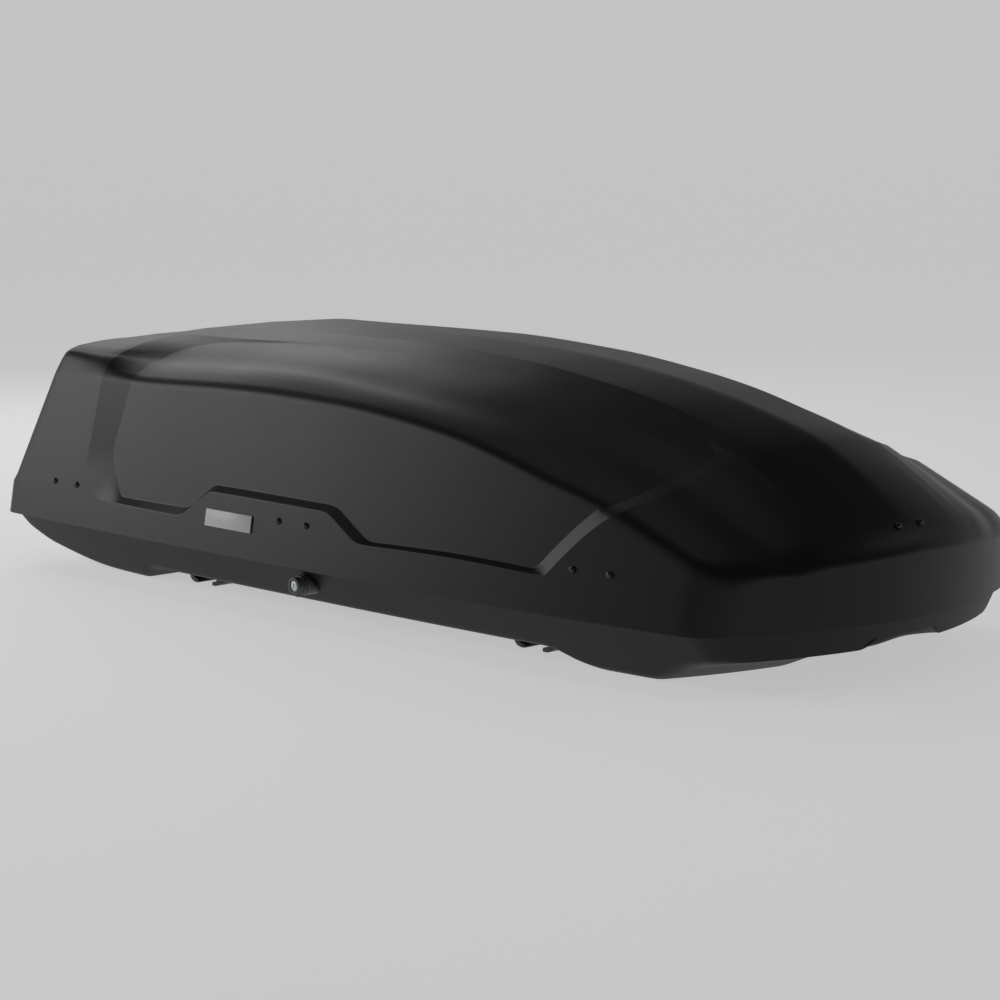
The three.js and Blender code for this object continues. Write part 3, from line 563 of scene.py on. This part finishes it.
edge_loops = [offset_loop(loop, guard) for loop in (BAND_OUTER, BAND_INNER)
              for guard in (-EDGE_GUARD, 0, EDGE_GUARD)]
lid = build_skin("lid_skin", lid_point, lid_x, LID_SPANS, LID_ROUNDS, LID_CREASE_KEY, HALF_LENGTH, LID_CORNER,
                 LID_STEP, True, edge_loops, band_depth)
thicken(lid)
finish_piece(lid, "lid", "lid_plastic", "lid_shell")
print("lid triangles:", len(lid.data.polygons))

# %% [markdown]
# ## The tub
# The tub is shallower and plainer. Its floor drops into four lobes at the corners, with a channel between
# them that clears the crown of the car's roof.

# %% Tub
TUB_EDGE_KEY = 5
TUB_STEP = 14
tub = build_skin("tub_skin", base_point, base_x, BASE_SPANS, BASE_ROUNDS, TUB_EDGE_KEY, BASE_HALF,
                 BASE_CORNER, TUB_STEP, False)
thicken(tub)
finish_piece(tub, "base", "tub_plastic", "base_tub")
print("tub triangles:", len(tub.data.polygons))

# %% [markdown]
# ## Shader maths
# Materials are written as sums and products. This class wraps a socket so that an expression adds its own
# nodes.

# %% A socket that does arithmetic
class Wire:
    def __init__(self, tree, socket):
        self.tree, self.socket = tree, socket

    def math(self, operation, *others):
        return node(self.tree, "ShaderNodeMath", {"operation": operation}, dict(enumerate((self, *others))))

    def __add__(self, other): return self.math("ADD", other)
    def __radd__(self, other): return self.math("ADD", other)
    def __sub__(self, other): return self.math("SUBTRACT", other)
    def __rsub__(self, other):
        return node(self.tree, "ShaderNodeMath", {"operation": "SUBTRACT"}, {0: other, 1: self})

    def __mul__(self, other): return self.math("MULTIPLY", other)
    def __rmul__(self, other): return self.math("MULTIPLY", other)


def node(tree, kind, settings=None, inputs=None, output=0):
    """One node: its settings first, then the values or wires of its sockets."""
    made = tree.nodes.new(kind)
    for key, value in (settings or {}).items():
        setattr(made, key, value)
    for key, value in (inputs or {}).items():
        if isinstance(value, Wire):
            tree.links.new(value.socket, made.inputs[key])
        else:
            made.inputs[key].default_value = value
    return Wire(tree, made.outputs[output])


def blend_colors(tree, factor, first, second):
    mix = tree.nodes.new("ShaderNodeMix")
    mix.data_type = "RGBA"
    tree.links.new(factor.socket, mix.inputs["Factor"])
    mix.inputs["A"].default_value = (*first, 1)
    mix.inputs["B"].default_value = (*second, 1)
    return Wire(tree, mix.outputs["Result"])


def noise(tree, scale, detail=2, roughness=0.5):
    place = node(tree, "ShaderNodeTexCoord", output="Object")
    return node(tree, "ShaderNodeTexNoise", {}, {"Vector": place, "Scale": scale, "Detail": detail,
                                                 "Roughness": roughness}, output="Fac")


# %% [markdown]
# ## Finishes
# The box is all black plastic, but not one black: the lid has a fine leather-like grain from its mould and a
# soft shine, and the tub is duller. Fittings are smoother moulded plastic, zinc-plated steel and black
# enamelled steel.

# %% Moulded plastic, plated steel and enamel
def plastic(name, dark, light, roughness, grain, grain_size, ior=1.33):
    material = bpy.data.materials.new(name)
    material.use_nodes = True
    tree = material.node_tree
    shader = tree.nodes["Principled BSDF"]
    cloudy = noise(tree, 3.5, 3)
    fine = noise(tree, grain_size, 2, 0.6)
    scuffs = noise(tree, 60, 6, 0.7)
    color = blend_colors(tree, cloudy * 0.6 + fine * 0.4, dark, light)
    rough = roughness + (cloudy - 0.5) * 0.06 + (scuffs - 0.5) * 0.05
    tree.links.new(color.socket, shader.inputs["Base Color"])
    tree.links.new(rough.socket, shader.inputs["Roughness"])
    bump = node(tree, "ShaderNodeBump", {}, {"Height": fine, "Strength": grain, "Distance": 0.0004})
    tree.links.new(bump.socket, shader.inputs["Normal"])
    shader.inputs["IOR"].default_value = ior
    return material


def metal(name, dark, light, roughness, metallic, grain_size):
    material = bpy.data.materials.new(name)
    material.use_nodes = True
    tree = material.node_tree
    shader = tree.nodes["Principled BSDF"]
    blotches = noise(tree, 40, 4, 0.6)
    fine = noise(tree, grain_size, 3, 0.6)
    color = blend_colors(tree, blotches, dark, light)
    rough = roughness + (fine - 0.5) * 0.15 + (blotches - 0.5) * 0.1
    tree.links.new(color.socket, shader.inputs["Base Color"])
    tree.links.new(rough.socket, shader.inputs["Roughness"])
    bump = node(tree, "ShaderNodeBump", {}, {"Height": fine, "Strength": 0.15, "Distance": 0.0002})
    tree.links.new(bump.socket, shader.inputs["Normal"])
    shader.inputs["Metallic"].default_value = metallic
    return material


LID_PLASTIC = plastic("lid_plastic", (0.003, 0.0032, 0.0034), (0.006, 0.0063, 0.0066), 0.40, 0.3, 900, 1.38)
TUB_PLASTIC = plastic("tub_plastic", (0.006, 0.006, 0.0063), (0.011, 0.011, 0.0115), 0.50, 0.4, 800, 1.32)
TRIM = plastic("trim_plastic", (0.005, 0.005, 0.0053), (0.009, 0.009, 0.0094), 0.42, 0.2, 1200)
KNOB_PLASTIC = plastic("knob_plastic", (0.055, 0.060, 0.065), (0.080, 0.086, 0.092), 0.38, 0.2, 1200, 1.45)
BADGE_PLASTIC = plastic("badge_plastic", (0.50, 0.51, 0.52), (0.62, 0.63, 0.64), 0.35, 0.1, 1200, 1.45)
STEEL = metal("plated_steel", (0.42, 0.43, 0.44), (0.58, 0.59, 0.60), 0.32, 1.0, 300)
BLACK_STEEL = metal("black_enamel", (0.008, 0.008, 0.008), (0.016, 0.016, 0.016), 0.28, 0.0, 500)
SLOT_FINISH = {"lid_plastic": LID_PLASTIC, "tub_plastic": TUB_PLASTIC, "trim": TRIM,
               "knob_plastic": KNOB_PLASTIC, "badge_plastic": BADGE_PLASTIC, "steel": STEEL,
               "black_steel": BLACK_STEEL}


def paint(piece, material):
    piece.data.materials.clear()
    piece.data.materials.append(material)


paint(lid, LID_PLASTIC)
paint(tub, TUB_PLASTIC)

# %% [markdown]
# ## Fittings
# The brackets, saddles, clamps and levers already have their true shapes. Nothing moulded or pressed has a
# knife edge, though, so each is copied, its facets are joined, and its edges get a small bevel that catches
# the light.

# %% Bevel every fitting that the frame already shapes
slot_of = {part["node"]: part["material_slot"] for part in frame["record"]["subparts"]}
body_of = {name: body for body, names in frame["record"]["behaviour"]["bodies"].items() for name in names}


def refined(name, width, segments=2, angle=32):
    piece = nodes[name].copy()
    piece.data = nodes[name].data.copy()
    piece.parent = None
    for key in list(piece.keys()):
        del piece[key]
    piece.name = name + "_fine"
    bpy.context.scene.collection.objects.link(piece)
    pick(piece)
    bpy.ops.object.mode_set(mode="EDIT")
    bpy.ops.mesh.select_all(action="SELECT")
    bpy.ops.mesh.remove_doubles(threshold=1e-5)
    bpy.ops.mesh.dissolve_limited(angle_limit=math.radians(1))
    bpy.ops.object.mode_set(mode="OBJECT")
    bevel = piece.modifiers.new("edges", "BEVEL")
    bevel.width = width
    bevel.segments = segments
    bevel.limit_method = "ANGLE"
    bevel.angle_limit = math.radians(angle)
    bevel.use_clamp_overlap = True
    apply_modifiers(piece)
    smooth(piece, 34)
    paint(piece, SLOT_FINISH[slot_of[name]])
    finish_piece(piece, body_of[name], slot_of[name], name)
    return piece


BEVELS = {"saddle": 0.0012, "lid_bracket": 0.001, "pin": 0.0006, "escutcheon": 0.0025,
          "lifter_bracket": 0.0008, "lifter_arm": 0.0008, "lifter_roller": 0.0008, "lifter_track": 0.001,
          "clamp_housing": 0.002, "clamp_jaw": 0.0012, "clamp_knob": 0.0025, "lock_bar": 0.0008,
          "lock_cylinder": 0.0006, "badge": 0.0008}
for name in sorted(nodes):
    for start, width in BEVELS.items():
        if name.startswith(start):
            refined(name, width)
print("bevelled fittings:", sum(name.startswith(tuple(BEVELS)) for name in nodes))
for name in sorted(nodes):
    paint(nodes[name], SLOT_FINISH[slot_of[name]])

# %% [markdown]
# ## Lock knob
# The knob is a stubby teardrop with the key's cylinder in its middle, on a round flange. It already has its
# true shape, and gets a broader bevel than the small fittings, because a hand turns it.

# %% Lock knob
refined("lock_knob", 0.0015, 3)

# %% [markdown]
# ## Rivet heads
# Each rivet head is a low dome. One is halved from a sphere, pressed flat, and copied to its places.

# %% Rivet heads
def dome(radius, rise):
    bpy.ops.object.select_all(action="DESELECT")
    bpy.ops.mesh.primitive_uv_sphere_add(segments=20, ring_count=12, radius=radius, location=(0, 0, 0))
    head = bpy.context.object
    bpy.ops.object.mode_set(mode="EDIT")
    bpy.ops.mesh.select_all(action="SELECT")
    bpy.ops.mesh.bisect(plane_co=(0, 0, 0), plane_no=(0, 0, 1), clear_inner=True, use_fill=True)
    bpy.ops.mesh.select_all(action="SELECT")
    bpy.ops.transform.resize(value=(1, 1, rise / radius))
    bpy.ops.object.mode_set(mode="OBJECT")
    return head


def place_copies(head, name, spots):
    """Joins copies of a piece, each turned so that its top faces along a normal."""
    copies = []
    for point, normal in spots:
        copy = head.copy()
        copy.data = head.data.copy()
        bpy.context.scene.collection.objects.link(copy)
        turn = Vector((0, 0, 1)).rotation_difference(Vector(normal)).to_matrix().to_4x4()
        copy.matrix_world = Matrix.Translation(point) @ turn
        copies.append(copy)
    bpy.context.view_layer.update()
    bpy.ops.object.select_all(action="DESELECT")
    for copy in copies:
        copy.select_set(True)
    bpy.context.view_layer.objects.active = copies[0]
    bpy.ops.object.join()
    joined = bpy.context.object
    joined.name = name
    settle(joined)
    return joined


RIVET_R = 0.0058
RIVET_RISE = 0.0036
NOSE_RIVET_INSET = 0.009
SIDE_RIVET_INSET = 0.008
head = dome(RIVET_R, RIVET_RISE)
for name in sorted(n for n in nodes if n.startswith("rivet_pair")):
    low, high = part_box(name)
    spots = []
    for end in (-1, 1):
        if name.endswith("nose"):
            y = end * (high.y - NOSE_RIVET_INSET)
            place = laid_out(lid_point, (low.x + high.x) / 2 * MM, y=abs(y) * MM)
        else:
            x = low.x + SIDE_RIVET_INSET if end < 0 else high.x - SIDE_RIVET_INSET
            place = laid_out(lid_point, x * MM, height=(low.z + high.z) / 2 * MM - RIM_Z)
        point = lid_point(*place[:, None])[0] / MM
        normal = surface_normal(lid_point, place[None])[0]
        mirror = 1 if (y if name.endswith("nose") else low.y) < 0 else -1
        spots.append((Vector(point * [1, mirror, 1]), Vector(normal * [1, mirror, 1])))
    heads = place_copies(head, name.replace("pair", "heads"), spots)
    smooth(heads, 60)
    paint(heads, BLACK_STEEL)
    finish_piece(heads, "lid", "black_steel")
bpy.data.objects.remove(head)

# %% [markdown]
# ## Studio
# Black plastic shows little but what it mirrors, so the studio is drawn for its reflections. The sky is
# bright along the horizon behind the tail and dark overhead and ahead, so the roof shades from pale at the
# tail to black at the nose. A low soft lamp at the rear right does the same along the side. A lamp over the
# tail, a wide faint one overhead and a small one ahead on the far side fill the rest. The floor glows a
# little, to be as pale as a paper sweep.

# %% Floor, sky and lamps
HORIZON_LIGHT = 0.50
SKY_LIGHT = 0.05
FLOOR_R = 40
FLOOR_GLOW = 0.485
bpy.ops.object.select_all(action="DESELECT")
bpy.ops.mesh.primitive_circle_add(vertices=96, radius=FLOOR_R, fill_type="NGON", location=(0, 0, 0))
floor = bpy.context.object
floor.name = "floor"
ground = bpy.data.materials.new("floor")
ground.use_nodes = True
floor_shader = ground.node_tree.nodes["Principled BSDF"]
floor_shader.inputs["Base Color"].default_value = (0.6, 0.6, 0.6, 1)
floor_shader.inputs["Roughness"].default_value = 0.9
floor_shader.inputs["Emission Color"].default_value = (1, 1, 1, 1)
floor_shader.inputs["Emission Strength"].default_value = FLOOR_GLOW
paint(floor, ground)


def graded(tree, value, low, high, start, end):
    """A smooth change from start to end as a value goes from low to high."""
    return node(tree, "ShaderNodeMapRange", {"interpolation_type": "SMOOTHSTEP"},
                {"Value": value, "From Min": low, "From Max": high, "To Min": start, "To Max": end},
                output="Result")


world = bpy.data.worlds.new("studio")
world.use_nodes = True
sky = world.node_tree
direction = node(sky, "ShaderNodeTexCoord", output="Generated")
x, y, z = (node(sky, "ShaderNodeSeparateXYZ", {}, {"Vector": direction}, output=axis) for axis in "XYZ")
low_glow = graded(sky, z, 0.18, 0.50, 1, 0)
behind = graded(sky, x * -0.72 + y * 0.69, -0.1, 0.8, 0, 1)
light = SKY_LIGHT + low_glow * behind * HORIZON_LIGHT
sky.nodes["Background"].inputs["Color"].default_value = (1, 1, 1, 1)
sky.links.new(light.socket, sky.nodes["Background"].inputs["Strength"])
bpy.context.scene.world = world


def softbox(name, place, target, width, height, watts):
    data = bpy.data.lights.new(name, "AREA")
    data.shape = "RECTANGLE"
    data.size, data.size_y = width, height
    data.energy = watts
    lamp = bpy.data.objects.new(name, data)
    bpy.context.scene.collection.objects.link(lamp)
    lamp.location = place
    lamp.rotation_euler = (Vector(target) - Vector(place)).to_track_quat("-Z", "Y").to_euler()
    return lamp


softbox("rear_right", (-3.8, -2.75, 1.3), (-0.6, -0.2, 0.3), 1.9, 1.9, 44)
softbox("tail", (-3.1, 0.96, 2.0), (-0.5, 0, 0.4), 2.2, 1.6, 14)
softbox("overhead", (0, 0, 4.0), (0, 0, 0), 3.0, 2.0, 6)
softbox("far_front", (2.1, 2.5, 2.3), (0.7, 0, 0.3), 0.8, 0.6, 2.3)

# %% [markdown]
# ## Camera
# A long lens from in front and to the right, a little above the box.

# %% Camera
AZIMUTH, ELEVATION = math.radians(46.406), math.radians(8.478)
DISTANCE = 4.920
LOOK_AT = Vector((-0.0585, 0.061, RIM_Z / MM + 0.0661))
FOCAL_MM = 97.2
back = Vector((math.sin(AZIMUTH) * math.cos(ELEVATION), -math.cos(AZIMUTH) * math.cos(ELEVATION),
               math.sin(ELEVATION)))
camera_data = bpy.data.cameras.new("camera")
camera_data.lens = FOCAL_MM
camera_data.sensor_width = 36
camera = bpy.data.objects.new("camera", camera_data)
bpy.context.scene.collection.objects.link(camera)
camera.location = LOOK_AT + back * DISTANCE
camera.rotation_euler = (-back).to_track_quat("-Z", "Y").to_euler()
bpy.context.scene.camera = camera
bpy.context.scene.view_settings.view_transform = "Standard"
